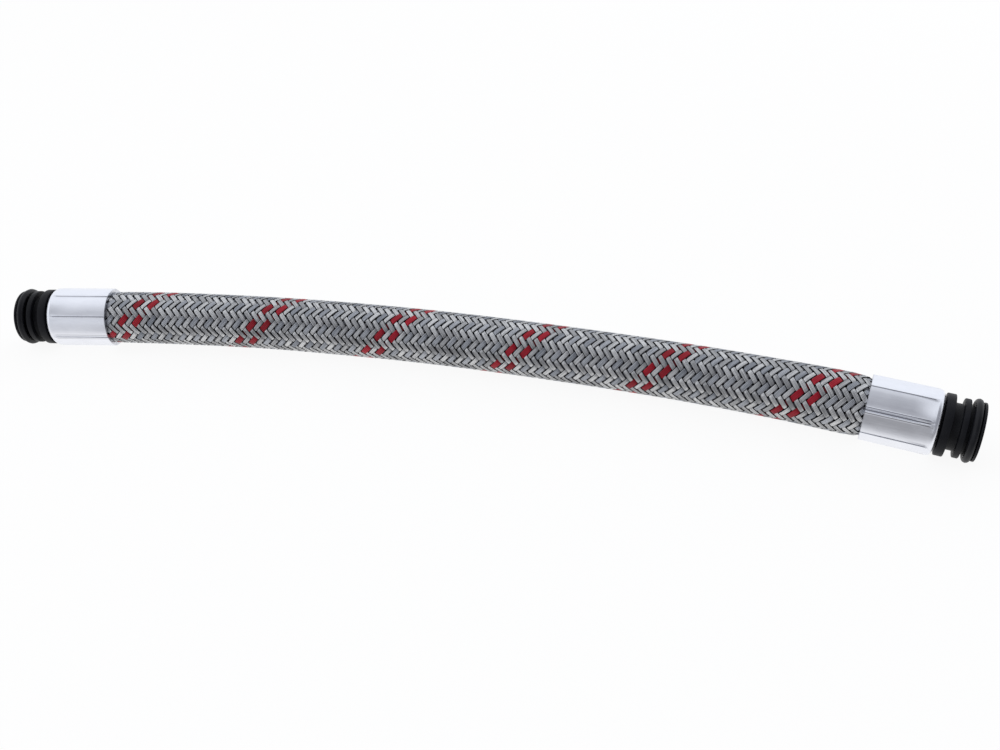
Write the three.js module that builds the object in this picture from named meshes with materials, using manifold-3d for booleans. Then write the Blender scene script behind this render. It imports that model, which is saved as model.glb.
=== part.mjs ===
// Flexible pipe: a short braided hose with a push-in spigot crimped on each end.
//
// Millimetres. +X runs from the left end to the right end and +Z is up. The origin is in the middle
// of the two end fittings, on the surface that the pipe lies on. Round pieces on a fitting are
// drawn about its own axis, with stations counted outwards from the ferrule's mouth.

import * as THREE from 'three';
import { mergeVertices } from 'three/addons/utils/BufferGeometryUtils.js';
import Module from 'manifold-3d';

const wasm = await Module();
wasm.setup();

// Clearances between pieces
const fit = 0.25; // between round pieces that seat in each other
const faceGap = 0.3; // between faces that meet end to end

// Smoothness of the round pieces
const hoseSides = 12;
const hoseSteps = 16;
const crimpedSides = 24;
const turnedSides = 32;
const ringSectionSides = 10;

// Hose: a rubber liner in a woven wire sleeve
const hoseBore = 13.0;
const linerWall = 1.45;
const sleeveWall = 0.75;

// Crimped ends of the hose, squeezed thin between the ferrule and the spigot's tail
const linerCrimpedWall = 0.55;
const sleeveCrimpedWall = 0.45;
const swellLength = 1.0; // over which the hose swells again outside the ferrule
const squeezeLength = 0.8; // over which it narrows inside the ferrule
const laminaOverlap = 1.0; // how far the crimped end runs on inside the free hose's wall
const laminaInset = 0.08; // how deep inside that wall its faces lie

// Ferrule: a round aluminium blank crimped by a ring of dies
const ferruleLength = 19.8;
const dieCount = 8;
const flatWall = { left: 0.98, right: 1.06 }; // wall left under the middle of a flat
const partingTurn = { left: 29.3, right: 17.6 }; // degrees of a parting line above the level
const cornerTrim = 0.12; // height of each corner that the round blank doesn't fill
const partingWidth = 0.3;
const partingDepth = 0.14;
const ferruleFillet = 1.3; // rounded edge towards the spigot
const lipThickness = 1.15; // end wall, turned in behind the spigot's collar
const mouthFlare = 0.4;

// Spigot: a moulded insert with a barbed tail, a groove for a clip and a groove for the O-ring
const tailWall = 1.25;
const tailStart = 0.5;
const barbHeight = 0.4;
const barbPitch = 3.6;
const barbCount = 4;
const collarLength = 1.4;
const neck = { radius: 6.8, shown: 0.6 };
const stopFlange = { radius: 9.2, length: 2.4 };
const clipGroove = { radius: 6.9, length: 2.45 };
const midFlange = { radius: 8.7, length: 1.6 };
const ringGroove = { radius: 6.9, length: 3.35 };
const endFlange = { radius: 8.6, length: 0.8 };
const edgeChamfer = 0.25;
const boreChamfer = 0.5;

// O-ring
const ringSection = 2.2;
const ringSideGap = 0.2; // to the end flange

// Route of the hose from mouth to mouth, chosen by hand: x, y, and how far up each point lies from
// the belly's height (0) to the fittings' height (1). The pipe bows to one side on its surface.
const routePoints = [
  [-122.7, 2.7, 1], [-119.3, 3.4, 1], [-104.6, 6.1, 0.92], [-89.8, 8.4, 0.75],
  [-74.9, 10.4, 0.52], [-60.0, 11.9, 0.3], [-45.0, 13.0, 0.13], [-30.0, 13.8, 0.03],
  [-15.0, 14.2, 0], [0.0, 14.2, 0], [15.0, 13.9, 0], [30.0, 13.3, 0.03],
  [44.9, 12.5, 0.13], [59.9, 11.4, 0.3], [74.8, 10.0, 0.52], [89.7, 8.2, 0.75],
  [104.6, 6.1, 0.92], [119.3, 3.5, 1], [122.7, 2.8, 1],
];

// Sizes that follow
const linerOuter = hoseBore / 2 + linerWall;
const sleeveInner = linerOuter + faceGap;
const sleeveOuter = sleeveInner + sleeveWall;
const flatShare = Math.cos(Math.PI / hoseSides); // a side's distance over a corner's distance
const crimpedBore = hoseBore / 2 + laminaInset;
const linerCrimped = crimpedBore + linerCrimpedWall;
const sleeveCrimpedInner = linerCrimped + fit;
const sleeveCrimped = sleeveCrimpedInner + sleeveCrimpedWall;
const ferruleBore = sleeveCrimped + fit;
const barbRadius = crimpedBore * Math.cos(Math.PI / crimpedSides) - fit;
const tailRadius = barbRadius - barbHeight;
const spigotBore = tailRadius - tailWall;
const collarRadius = ferruleBore * Math.cos(Math.PI / turnedSides) - fit;
const lipRadius = neck.radius + fit;
const collarEnd = ferruleLength - lipThickness - fit;
const collarStart = collarEnd - collarLength;
const hoseEnd = collarStart - faceGap;
const stopStart = ferruleLength + neck.shown;
const clipStart = stopStart + stopFlange.length;
const midStart = clipStart + clipGroove.length;
const grooveStart = midStart + midFlange.length;
const endStart = grooveStart + ringGroove.length;
const spigotEnd = endStart + endFlange.length;
const ringRadius = ringGroove.radius + fit + ringSection / 2;
const ringStation = endStart - ringSideGap - ringSection / 2;
const fittingHeight = ringRadius + ringSection / 2;

// Finishes
const finishes = {
  braid: new THREE.MeshStandardMaterial({ color: 0xa3a6a6, roughness: 0.45, metalness: 0.8 }),
  liner: new THREE.MeshStandardMaterial({ color: 0x1c1c1e, roughness: 0.8, metalness: 0.0 }),
  ferrule: new THREE.MeshStandardMaterial({ color: 0xd6d8e2, roughness: 0.32, metalness: 0.9 }),
  spigot: new THREE.MeshStandardMaterial({ color: 0x1b1c20, roughness: 0.5, metalness: 0.0 }),
  ring: new THREE.MeshStandardMaterial({ color: 0x141416, roughness: 0.6, metalness: 0.0 }),
};

// Solids and meshes
function solidOf(geometry) {
  const bare = geometry.clone();
  bare.deleteAttribute('normal');
  bare.deleteAttribute('uv');
  const merged = mergeVertices(bare, 1e-4);
  return new wasm.Manifold(new wasm.Mesh({
    numProp: 3,
    vertProperties: merged.attributes.position.array,
    triVerts: new Uint32Array(merged.index.array),
  }));
}

function geometryOf(solid) {
  const { vertProperties, triVerts } = solid.getMesh();
  const geometry = new THREE.BufferGeometry();
  geometry.setAttribute('position', new THREE.BufferAttribute(vertProperties, 3));
  geometry.setIndex(new THREE.BufferAttribute(triVerts, 1));
  geometry.computeVertexNormals();
  return geometry;
}

function namedMesh(name, geometry, material) {
  const mesh = new THREE.Mesh(geometry, material.clone());
  mesh.name = name;
  return mesh;
}

// A turned piece about local Z: its outline is [radius, station] pairs that run outwards along the
// outside and back along the bore.
function turned(outline, sides) {
  const closed = [...outline, outline[0]];
  const profile = closed.map(([radius, station]) => new THREE.Vector2(radius, station));
  return new THREE.LatheGeometry(profile, sides).rotateX(Math.PI / 2);
}

// Ends of the pipe, taken from the route
const bellyHeight = sleeveOuter;
const route = routePoints.map(([x, y, lift]) => {
  const height = THREE.MathUtils.lerp(bellyHeight, fittingHeight, lift);
  return new THREE.Vector3(x, y, height);
});

function endFrame(mouth, next) {
  const outwards = mouth.clone().sub(next).normalize();
  const up = new THREE.Vector3(0, 0, 1);
  const across = up.clone().cross(outwards);
  const frame = new THREE.Matrix4().makeBasis(across, up, outwards);
  return frame.setPosition(mouth);
}

const endFrames = {
  left: endFrame(route.at(0), route.at(1)),
  right: endFrame(route.at(-1), route.at(-2)),
};

// Hose
function ringOfPoints(radius, sides) {
  return Array.from({ length: sides }, (_, i) => {
    const angle = (2 * Math.PI * i) / sides;
    return new THREE.Vector2(radius * Math.cos(angle), radius * Math.sin(angle));
  });
}

function freePath() {
  const points = route.map((point) => point.clone());
  const shorten = (point, next) => point.lerp(next, swellLength / point.distanceTo(next));
  shorten(points.at(0), points.at(1));
  shorten(points.at(-1), points.at(-2));
  return new THREE.CatmullRomCurve3(points, false, 'centripetal');
}

// The free hose is drawn along the route, and its crimped ends are turned about the fittings' axes.
function layer(inner, outer, crimpedInner, crimpedOuter) {
  const section = new THREE.Shape(ringOfPoints(outer, hoseSides));
  section.holes.push(new THREE.Path(ringOfPoints(inner, hoseSides)));
  const tube = new THREE.ExtrudeGeometry(section, { steps: hoseSteps, extrudePath: freePath() });
  const outerInWall = outer * flatShare - laminaInset;
  const innerInWall = inner + laminaInset;
  const crimped = turned([
    [outerInWall, -swellLength - laminaOverlap],
    [outerInWall, -swellLength],
    [crimpedOuter, squeezeLength],
    [crimpedOuter, hoseEnd],
    [crimpedInner, hoseEnd],
    [crimpedInner, squeezeLength],
    [innerInWall, -swellLength],
    [innerInWall, -swellLength - laminaOverlap],
  ], crimpedSides);
  const ends = Object.values(endFrames).map((frame) => {
    return solidOf(crimped.clone().applyMatrix4(frame));
  });
  return geometryOf(solidOf(tube).add(ends[0]).add(ends[1]));
}

function makeHose() {
  const hose = new THREE.Group();
  const sleeve = layer(sleeveInner, sleeveOuter, sleeveCrimpedInner, sleeveCrimped);
  const liner = layer(hoseBore / 2, linerOuter, crimpedBore, linerCrimped);
  hose.add(namedMesh('braid_sleeve', sleeve, finishes.braid));
  hose.add(namedMesh('inner_hose', liner, finishes.liner));
  return hose;
}

// Ferrule
function ferruleBlank(radius) {
  const fillet = [];
  const filletSteps = 3;
  for (let i = 0; i <= filletSteps; i += 1) {
    const angle = (Math.PI / 2) * (i / filletSteps);
    fillet.push([
      radius - ferruleFillet * (1 - Math.cos(angle)),
      ferruleLength - ferruleFillet * (1 - Math.sin(angle)),
    ]);
  }
  return turned([
    [radius, 0],
    ...fillet,
    [lipRadius, ferruleLength],
    [lipRadius, ferruleLength - lipThickness],
    [ferruleBore, ferruleLength - lipThickness],
    [ferruleBore, squeezeLength],
    [ferruleBore + mouthFlare, 0],
  ], turnedSides);
}

function makeFerrule(side) {
  const halfDie = Math.PI / dieCount;
  const cornerRadius = (ferruleBore + flatWall[side]) / Math.cos(halfDie);
  const turn = THREE.MathUtils.degToRad(partingTurn[side]);
  const past = 1; // the cutting shapes run past the ferrule's ends
  const cutLength = ferruleLength + 2 * past;
  const flats = new THREE.Shape(ringOfPoints(cornerRadius, dieCount));
  const prism = new THREE.ExtrudeGeometry(flats, { depth: cutLength, bevelEnabled: false });
  prism.translate(0, 0, -past);
  const blankRadius = cornerRadius - cornerTrim;
  let ferrule = solidOf(prism).intersect(solidOf(ferruleBlank(blankRadius).rotateZ(Math.PI / 2)));
  const lineHeight = partingDepth + past;
  for (let i = 0; i < dieCount; i += 1) {
    const line = new THREE.BoxGeometry(lineHeight, partingWidth, cutLength);
    line.translate(blankRadius - partingDepth + lineHeight / 2, 0, ferruleLength / 2);
    line.rotateZ(2 * halfDie * i);
    ferrule = ferrule.subtract(solidOf(line));
  }
  return geometryOf(ferrule).rotateZ(turn);
}

// Spigot
function flangeOutline({ radius, length }, start) {
  return [
    [radius - edgeChamfer, start],
    [radius, start + edgeChamfer],
    [radius, start + length - edgeChamfer],
    [radius - edgeChamfer, start + length],
  ];
}

function barbOutline() {
  const outline = [];
  for (let i = 0; i < barbCount; i += 1) {
    const start = tailStart + i * barbPitch;
    outline.push([tailRadius, start]);
    outline.push([barbRadius, start + barbPitch - barbHeight]);
  }
  outline.push([tailRadius, tailStart + barbCount * barbPitch]);
  return outline;
}

function makeSpigot() {
  return turned([
    ...barbOutline(),
    [tailRadius, collarStart],
    [collarRadius, collarStart],
    [collarRadius, collarEnd],
    [neck.radius, collarEnd],
    [neck.radius, stopStart],
    ...flangeOutline(stopFlange, stopStart),
    [clipGroove.radius, clipStart],
    [clipGroove.radius, midStart],
    ...flangeOutline(midFlange, midStart),
    [ringGroove.radius, grooveStart],
    [ringGroove.radius, endStart],
    ...flangeOutline(endFlange, endStart),
    [spigotBore + boreChamfer, spigotEnd],
    [spigotBore, spigotEnd - boreChamfer],
    [spigotBore, tailStart],
  ], turnedSides);
}

// O-ring
function makeRing() {
  const half = ringSection / 2;
  return new THREE.TorusGeometry(ringRadius, half, ringSectionSides, turnedSides);
}

// End fitting: a ferrule, the spigot that it holds and the spigot's O-ring
function makeFitting(side) {
  const fitting = new THREE.Group();
  fitting.applyMatrix4(endFrames[side]);
  const ring = namedMesh(`${side}_o_ring`, makeRing(), finishes.ring);
  ring.position.z = ringStation;
  fitting.add(namedMesh(`${side}_ferrule`, makeFerrule(side), finishes.ferrule));
  fitting.add(namedMesh(`${side}_spigot`, makeSpigot(), finishes.spigot));
  fitting.add(ring);
  return fitting;
}

const flexiblePipe = new THREE.Group();
flexiblePipe.add(makeHose(), makeFitting('left'), makeFitting('right'));

export default flexiblePipe;
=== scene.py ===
"""Looks of a short braided flexible pipe.

A rubber hose lies in a sleeve of woven wire ribbons, and each end carries a crimped aluminium
ferrule, a black plastic spigot and an O-ring. The pipe lies on its surface, in metres, with +X
from its left end to its right end and +Z up.
"""

import logging
import math
from contextlib import contextmanager
from dataclasses import dataclass, field
from enum import Enum
from typing import Any, Callable, Iterator, Mapping, Optional, Sequence, Union

import bmesh
import bpy
import numpy as np
from mathutils import Euler, Matrix, Vector


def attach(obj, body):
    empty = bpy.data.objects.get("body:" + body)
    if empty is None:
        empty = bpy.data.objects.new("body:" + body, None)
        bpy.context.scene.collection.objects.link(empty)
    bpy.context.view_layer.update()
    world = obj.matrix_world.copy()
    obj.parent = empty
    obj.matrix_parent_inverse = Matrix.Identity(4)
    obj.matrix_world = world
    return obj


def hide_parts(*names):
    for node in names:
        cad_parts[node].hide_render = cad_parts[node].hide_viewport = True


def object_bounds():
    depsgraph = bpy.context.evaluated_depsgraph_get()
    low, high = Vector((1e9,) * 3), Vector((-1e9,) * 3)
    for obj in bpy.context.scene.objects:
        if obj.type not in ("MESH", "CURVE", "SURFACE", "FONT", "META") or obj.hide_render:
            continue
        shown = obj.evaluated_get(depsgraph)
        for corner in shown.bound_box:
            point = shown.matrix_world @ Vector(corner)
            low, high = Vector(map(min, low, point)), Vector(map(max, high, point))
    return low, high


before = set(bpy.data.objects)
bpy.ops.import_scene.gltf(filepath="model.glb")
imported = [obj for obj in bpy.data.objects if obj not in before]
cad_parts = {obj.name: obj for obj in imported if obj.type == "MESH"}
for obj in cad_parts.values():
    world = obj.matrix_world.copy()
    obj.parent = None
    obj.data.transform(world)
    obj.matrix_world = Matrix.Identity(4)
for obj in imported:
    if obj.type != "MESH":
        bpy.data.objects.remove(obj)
CAD_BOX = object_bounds()

logging.basicConfig(level=logging.INFO, format="%(message)s")
log = logging.getLogger("flexible_pipe")

MM = 0.001
NEAR = 1e-4  # Places nearer than this are one place.
BODY = "root"

Number = Union[float, "Signal"]
Colour = tuple[float, float, float]
Place = tuple[float, float, float]
Span = tuple[float, float]
Flange = tuple[float, float, float]
Piece = bpy.types.Object


class Side(Enum):
    """The two ends of the pipe."""

    LEFT = "left"
    RIGHT = "right"


class Lay(Enum):
    """The two ways that a ribbon winds, seen from the side: rising or falling to the right."""

    RISING = 1
    FALLING = -1


def point_at(place: Sequence[float], aim: Sequence[float]) -> Euler:
    """The rotation that points a camera or a lamp from its place at an aim."""
    return (Vector(aim) - Vector(place)).to_track_quat("-Z", "Y").to_euler()


# Camera and route


@dataclass
class PhotoCamera:
    """The camera at the photograph's viewing angle."""

    place: Place = (0.0681, -0.2424, 0.16555)
    aim: Place = (0.01387, -0.003845, 0.0092)
    lens_mm: float = 33.68
    sensor_mm: float = 36.0
    nearest: float = 0.01
    furthest: float = 20.0

    def stand(self) -> Piece:
        """Adds the camera and makes it the scene's own.

        Returns:
            The camera's object.
        """
        turn = point_at(self.place, self.aim)
        bpy.ops.object.camera_add(location=self.place, rotation=turn)
        camera = bpy.context.object
        camera.name = "photo_camera"
        camera.data.lens = self.lens_mm
        camera.data.sensor_width = self.sensor_mm
        camera.data.clip_start = self.nearest
        camera.data.clip_end = self.furthest
        bpy.context.scene.camera = camera
        return camera


@dataclass
class Route:
    """The centreline of the pipe, measured by its length from the left mouth, in millimetres."""

    points: tuple[Place, ...] = (
        (-122.7, 2.7, 1), (-119.3, 3.4, 1), (-104.6, 6.1, 0.92), (-89.8, 8.4, 0.75),
        (-74.9, 10.4, 0.52), (-60.0, 11.9, 0.3), (-45.0, 13.0, 0.13), (-30.0, 13.8, 0.03),
        (-15.0, 14.2, 0), (0.0, 14.2, 0), (15.0, 13.9, 0), (30.0, 13.3, 0.03),
        (44.9, 12.5, 0.13), (59.9, 11.4, 0.3), (74.8, 10.0, 0.52), (89.7, 8.2, 0.75),
        (104.6, 6.1, 0.92), (119.3, 3.5, 1), (122.7, 2.8, 1),
    )
    belly_height: float = 9.0
    fitting_height: float = 9.35
    straight_end: float = 1.0
    run_in: float = 8.0
    steps_per_stretch: int = 60
    slope_reach: float = 0.5
    lengths: np.ndarray = field(init=False)
    places: np.ndarray = field(init=False)
    length: float = field(init=False)

    def __post_init__(self) -> None:
        """Lays out the measured line: straight run-ins and the free curve between them."""
        marks = np.array([
            (x, y, self.belly_height + lift * (self.fitting_height - self.belly_height))
            for x, y, lift in self.points
        ])
        mouths = marks[0].copy(), marks[-1].copy()
        for end, neighbour in ((0, 1), (-1, -2)):
            step = marks[neighbour] - marks[end]
            marks[end] = marks[end] + step * self.straight_end / np.linalg.norm(step)
        curve = self._smooth(marks)
        first = mouths[0] - marks[0]
        last = mouths[1] - marks[-1]
        start = mouths[0] + first / np.linalg.norm(first) * self.run_in
        stop = mouths[1] + last / np.linalg.norm(last) * self.run_in
        line = np.vstack([start, mouths[0], curve, mouths[1], stop])
        travelled = np.r_[0.0, np.cumsum(np.linalg.norm(np.diff(line, axis=0), axis=1))]
        self.lengths = travelled - self.run_in
        self.places = line
        self.length = float(travelled[-2] - self.run_in)

    def _smooth(self, marks: np.ndarray) -> np.ndarray:
        """A centripetal Catmull-Rom curve through the marks.

        Args:
            marks: The points that the curve passes, one row each.

        Returns:
            Points along the curve, one row each.
        """
        before = 2 * marks[0] - marks[1]
        after = 2 * marks[-1] - marks[-2]
        padded = np.vstack([before, marks, after])
        t = np.arange(1, self.steps_per_stretch + 1)[:, None] / self.steps_per_stretch
        stretches = [marks[:1]]
        for i in range(len(marks) - 1):
            a, b, c, d = padded[i:i + 4]
            gap_ab = np.linalg.norm(b - a) ** 0.5
            gap_bc = np.linalg.norm(c - b) ** 0.5
            gap_cd = np.linalg.norm(d - c) ** 0.5
            out_b = ((b - a) / gap_ab - (c - a) / (gap_ab + gap_bc) + (c - b) / gap_bc) * gap_bc
            out_c = ((c - b) / gap_bc - (d - b) / (gap_bc + gap_cd) + (d - c) / gap_cd) * gap_bc
            cubic = 2 * b - 2 * c + out_b + out_c
            square = -3 * b + 3 * c - 2 * out_b - out_c
            stretches.append(((cubic * t + square) * t + out_b) * t + b)
        return np.vstack(stretches)

    def at(self, lengths: np.ndarray) -> tuple[np.ndarray, np.ndarray, np.ndarray]:
        """The centreline and its cross directions at some lengths.

        Args:
            lengths: Millimetres from the left mouth, in an array of any shape.

        Returns:
            The points, the directions level towards the camera's side, and the upward directions.
        """
        along = self._point(lengths + self.slope_reach) - self._point(lengths - self.slope_reach)
        along /= np.linalg.norm(along, axis=-1, keepdims=True)
        level = np.cross(along, np.array([0.0, 0.0, 1.0]))
        level /= np.linalg.norm(level, axis=-1, keepdims=True)
        return self._point(lengths), level, np.cross(level, along)

    def _point(self, lengths: np.ndarray) -> np.ndarray:
        """The centreline at some lengths."""
        axes = [np.interp(lengths, self.lengths, self.places[:, k]) for k in range(3)]
        return np.stack(axes, axis=-1)

    def end_frame(self, side: Side) -> Matrix:
        """The frame of an end fitting: Z outwards from the ferrule's mouth, and Y up.

        Args:
            side: Which end.

        Returns:
            The frame, with its place in metres.
        """
        if side is Side.LEFT:
            mouth, outer = self.places[1], self.places[0]
        else:
            mouth, outer = self.places[-2], self.places[-1]
        outwards = Vector(outer - mouth).normalized()
        up = Vector((0.0, 0.0, 1.0))
        across = up.cross(outwards)
        turn = Matrix((across, up, outwards)).transposed().to_4x4()
        return Matrix.Translation(Vector(mouth) * MM) @ turn

    def marks(self, spacing: float) -> list[list[float]]:
        """Points from mouth to mouth, in metres.

        Args:
            spacing: About how far apart they lie, in millimetres.

        Returns:
            The points as plain lists.
        """
        count = round(self.length / spacing)
        places, _, _ = self.at(np.linspace(0.0, self.length, count + 1))
        return [[float(v) * MM for v in place] for place in places]


# Modelling


class Bench:
    """The moves that the pieces share. Sizes are in millimetres until a piece is in its place."""

    @staticmethod
    def clear() -> None:
        """Deselects every object."""
        bpy.ops.object.select_all(action="DESELECT")

    @staticmethod
    def pick(piece: Piece) -> None:
        """Makes one object the only selected one.

        Args:
            piece: The object.
        """
        Bench.clear()
        piece.select_set(True)
        bpy.context.view_layer.objects.active = piece

    @staticmethod
    @contextmanager
    def editing(piece: Piece) -> Iterator[None]:
        """Edit mode on one object for the length of a with block.

        Args:
            piece: The object.

        Yields:
            Nothing, once edit mode is on.
        """
        Bench.pick(piece)
        bpy.ops.object.mode_set(mode="EDIT")
        yield
        bpy.ops.object.mode_set(mode="OBJECT")

    @staticmethod
    def choose(piece: Piece, wanted: Callable[[Vector], bool]) -> None:
        """Selects the vertices whose place is wanted, in edit mode.

        Args:
            piece: The object in edit mode.
            wanted: Says of a vertex's place whether it is wanted.
        """
        bpy.ops.mesh.select_mode(type="VERT")
        bpy.ops.mesh.select_all(action="DESELECT")
        mesh = bmesh.from_edit_mesh(piece.data)
        for vertex in mesh.verts:
            vertex.select = wanted(vertex.co)
        mesh.select_flush_mode()
        mesh.select_flush(True)
        bmesh.update_edit_mesh(piece.data)

    @staticmethod
    def build(name: str, places: np.ndarray, faces: Sequence[Sequence[int]]) -> Piece:
        """A new object from points and faces.

        Args:
            name: The object's name.
            places: Its points, one row each, in millimetres.
            faces: Each face's point numbers.

        Returns:
            The object.
        """
        mesh = bpy.data.meshes.new(name)
        mesh.from_pydata((places * MM).tolist(), [], faces)
        mesh.update()
        piece = bpy.data.objects.new(name, mesh)
        bpy.context.collection.objects.link(piece)
        return piece

    @staticmethod
    def start(name: str) -> Piece:
        """A new object whose mesh is still empty.

        Args:
            name: The object's name.

        Returns:
            The object.
        """
        Bench.clear()
        bpy.ops.mesh.primitive_circle_add(vertices=3, location=(0, 0, 0))
        piece = bpy.context.object
        piece.name = piece.data.name = name
        with Bench.editing(piece):
            bpy.ops.mesh.select_all(action="SELECT")
            bpy.ops.mesh.delete(type="VERT")
        return piece

    @staticmethod
    def draw(piece: Piece, outline: Sequence[Vector]) -> None:
        """Draws a closed outline in edit mode, by extruding a circle that is drawn in to a point.

        Args:
            piece: The object in edit mode.
            outline: The outline's points in order.
        """
        bpy.ops.mesh.select_all(action="DESELECT")
        bpy.ops.mesh.primitive_circle_add(vertices=3, location=(0, 0, 0))
        bpy.ops.mesh.merge(type="CENTER")
        bpy.ops.transform.translate(value=outline[0])
        for here, there in zip(outline, outline[1:]):
            move = {"value": there - here}
            bpy.ops.mesh.extrude_region_move(TRANSFORM_OT_translate=move)
        ends = outline[0], outline[-1]
        Bench.choose(piece, lambda co: min((co - end).length for end in ends) < NEAR)
        bpy.ops.mesh.edge_face_add()

    @staticmethod
    def turn(name: str, outline: Sequence[Span], steps: int) -> Piece:
        """A turned piece about Z, spun from a closed outline.

        Args:
            name: The object's name.
            outline: Radius and station of each corner.
            steps: How many steps the turn has.

        Returns:
            The object.
        """
        corners = [Vector((radius, 0.0, station)) for radius, station in outline]
        piece = Bench.start(name)
        with Bench.editing(piece):
            Bench.draw(piece, corners)
            bpy.ops.mesh.select_all(action="SELECT")
            bpy.ops.mesh.spin(steps=steps, angle=2 * math.pi, center=(0, 0, 0), axis=(0, 0, 1))
            bpy.ops.mesh.select_all(action="SELECT")
            bpy.ops.mesh.remove_doubles(threshold=NEAR)
            bpy.ops.mesh.normals_make_consistent(inside=False)
        return piece

    @staticmethod
    def round_edges(piece: Piece, width: float, segments: int, sharp: float = 30) -> None:
        """Rounds the sharp edges of a piece with an applied bevel.

        Args:
            piece: The piece.
            width: The bevel's width.
            segments: How many steps it has.
            sharp: The least angle between two faces that is rounded, in degrees.
        """
        Bench.pick(piece)
        bpy.ops.object.modifier_add(type="BEVEL")
        bevel = piece.modifiers[-1]
        bevel.width = width
        bevel.segments = segments
        bevel.limit_method = "ANGLE"
        bevel.angle_limit = math.radians(sharp)
        bevel.use_clamp_overlap = True
        bpy.ops.object.modifier_apply(modifier=bevel.name)

    @staticmethod
    def set_in_place(piece: Piece, place: Matrix, smooth_below: float) -> None:
        """Moves a piece drawn in millimetres to its frame, applies it and smooths the piece.

        Args:
            piece: The piece, drawn about the frame's own Z.
            place: The frame, in metres.
            smooth_below: The greatest angle between faces that is shaded smooth, in degrees.
        """
        Bench.pick(piece)
        piece.matrix_world = place @ Matrix.Scale(MM, 4)
        bpy.ops.object.transform_apply(location=True, rotation=True, scale=True)
        bpy.ops.object.shade_smooth_by_angle(angle=math.radians(smooth_below))

    @staticmethod
    def hand_over(piece: Piece, material: bpy.types.Material, slot: str, node: str) -> None:
        """Dresses a finished piece, hangs it under the body's empty and hides the CAD node that it
        stands for.

        Args:
            piece: The piece.
            material: Its material.
            slot: Its material slot; not used.
            node: The CAD node whose looks it gives.
        """
        piece.data.materials.append(material)
        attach(piece, BODY)
        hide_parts(node)
        log.info("%s: %d faces", piece.name, len(piece.data.polygons))


# Shaders


class Signal:
    """One output in a shader tree, used like a number in an expression."""

    def __init__(self, tree: "ShaderTree", socket: Optional[bpy.types.NodeSocket]) -> None:
        """Wraps a socket of a tree."""
        self.tree = tree
        self.socket = socket

    def _maths(self, operation: str, *terms: Number) -> "Signal":
        """The result of a Math node on some terms."""
        return self.tree.add("ShaderNodeMath", {"operation": operation}, dict(enumerate(terms)))

    def __add__(self, other: Number) -> "Signal":
        """self + other."""
        return self._maths("ADD", self, other)

    __radd__ = __add__

    def __sub__(self, other: Number) -> "Signal":
        """self - other."""
        return self._maths("SUBTRACT", self, other)

    def __rsub__(self, other: Number) -> "Signal":
        """other - self."""
        return self._maths("SUBTRACT", other, self)

    def __mul__(self, other: Number) -> "Signal":
        """self * other."""
        return self._maths("MULTIPLY", self, other)

    __rmul__ = __mul__

    def __abs__(self) -> "Signal":
        """The size of self without its sign."""
        return self._maths("ABSOLUTE", self)

    def above(self, level: Number) -> "Signal":
        """1 where self is greater than a level, and 0 elsewhere."""
        return self._maths("GREATER_THAN", self, level)

    def fraction(self) -> "Signal":
        """The part of self after the point."""
        return self._maths("FRACT", self)

    def floor(self) -> "Signal":
        """The whole number below self."""
        return self._maths("FLOOR", self)

    def angle_from(self, other: "Signal") -> "Signal":
        """The angle whose tangent is self over other, in radians."""
        return self._maths("ARCTAN2", self, other)

    def greatest(self, other: Number) -> "Signal":
        """The greater of self and other."""
        return self._maths("MAXIMUM", self, other)

    def step(self, low: float, high: float) -> "Signal":
        """0 below low, 1 above high, and a smooth rise between them."""
        sockets = {"Value": self, "From Min": low, "From Max": high}
        return self.tree.add("ShaderNodeMapRange", {"interpolation_type": "SMOOTHSTEP"}, sockets)


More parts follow.
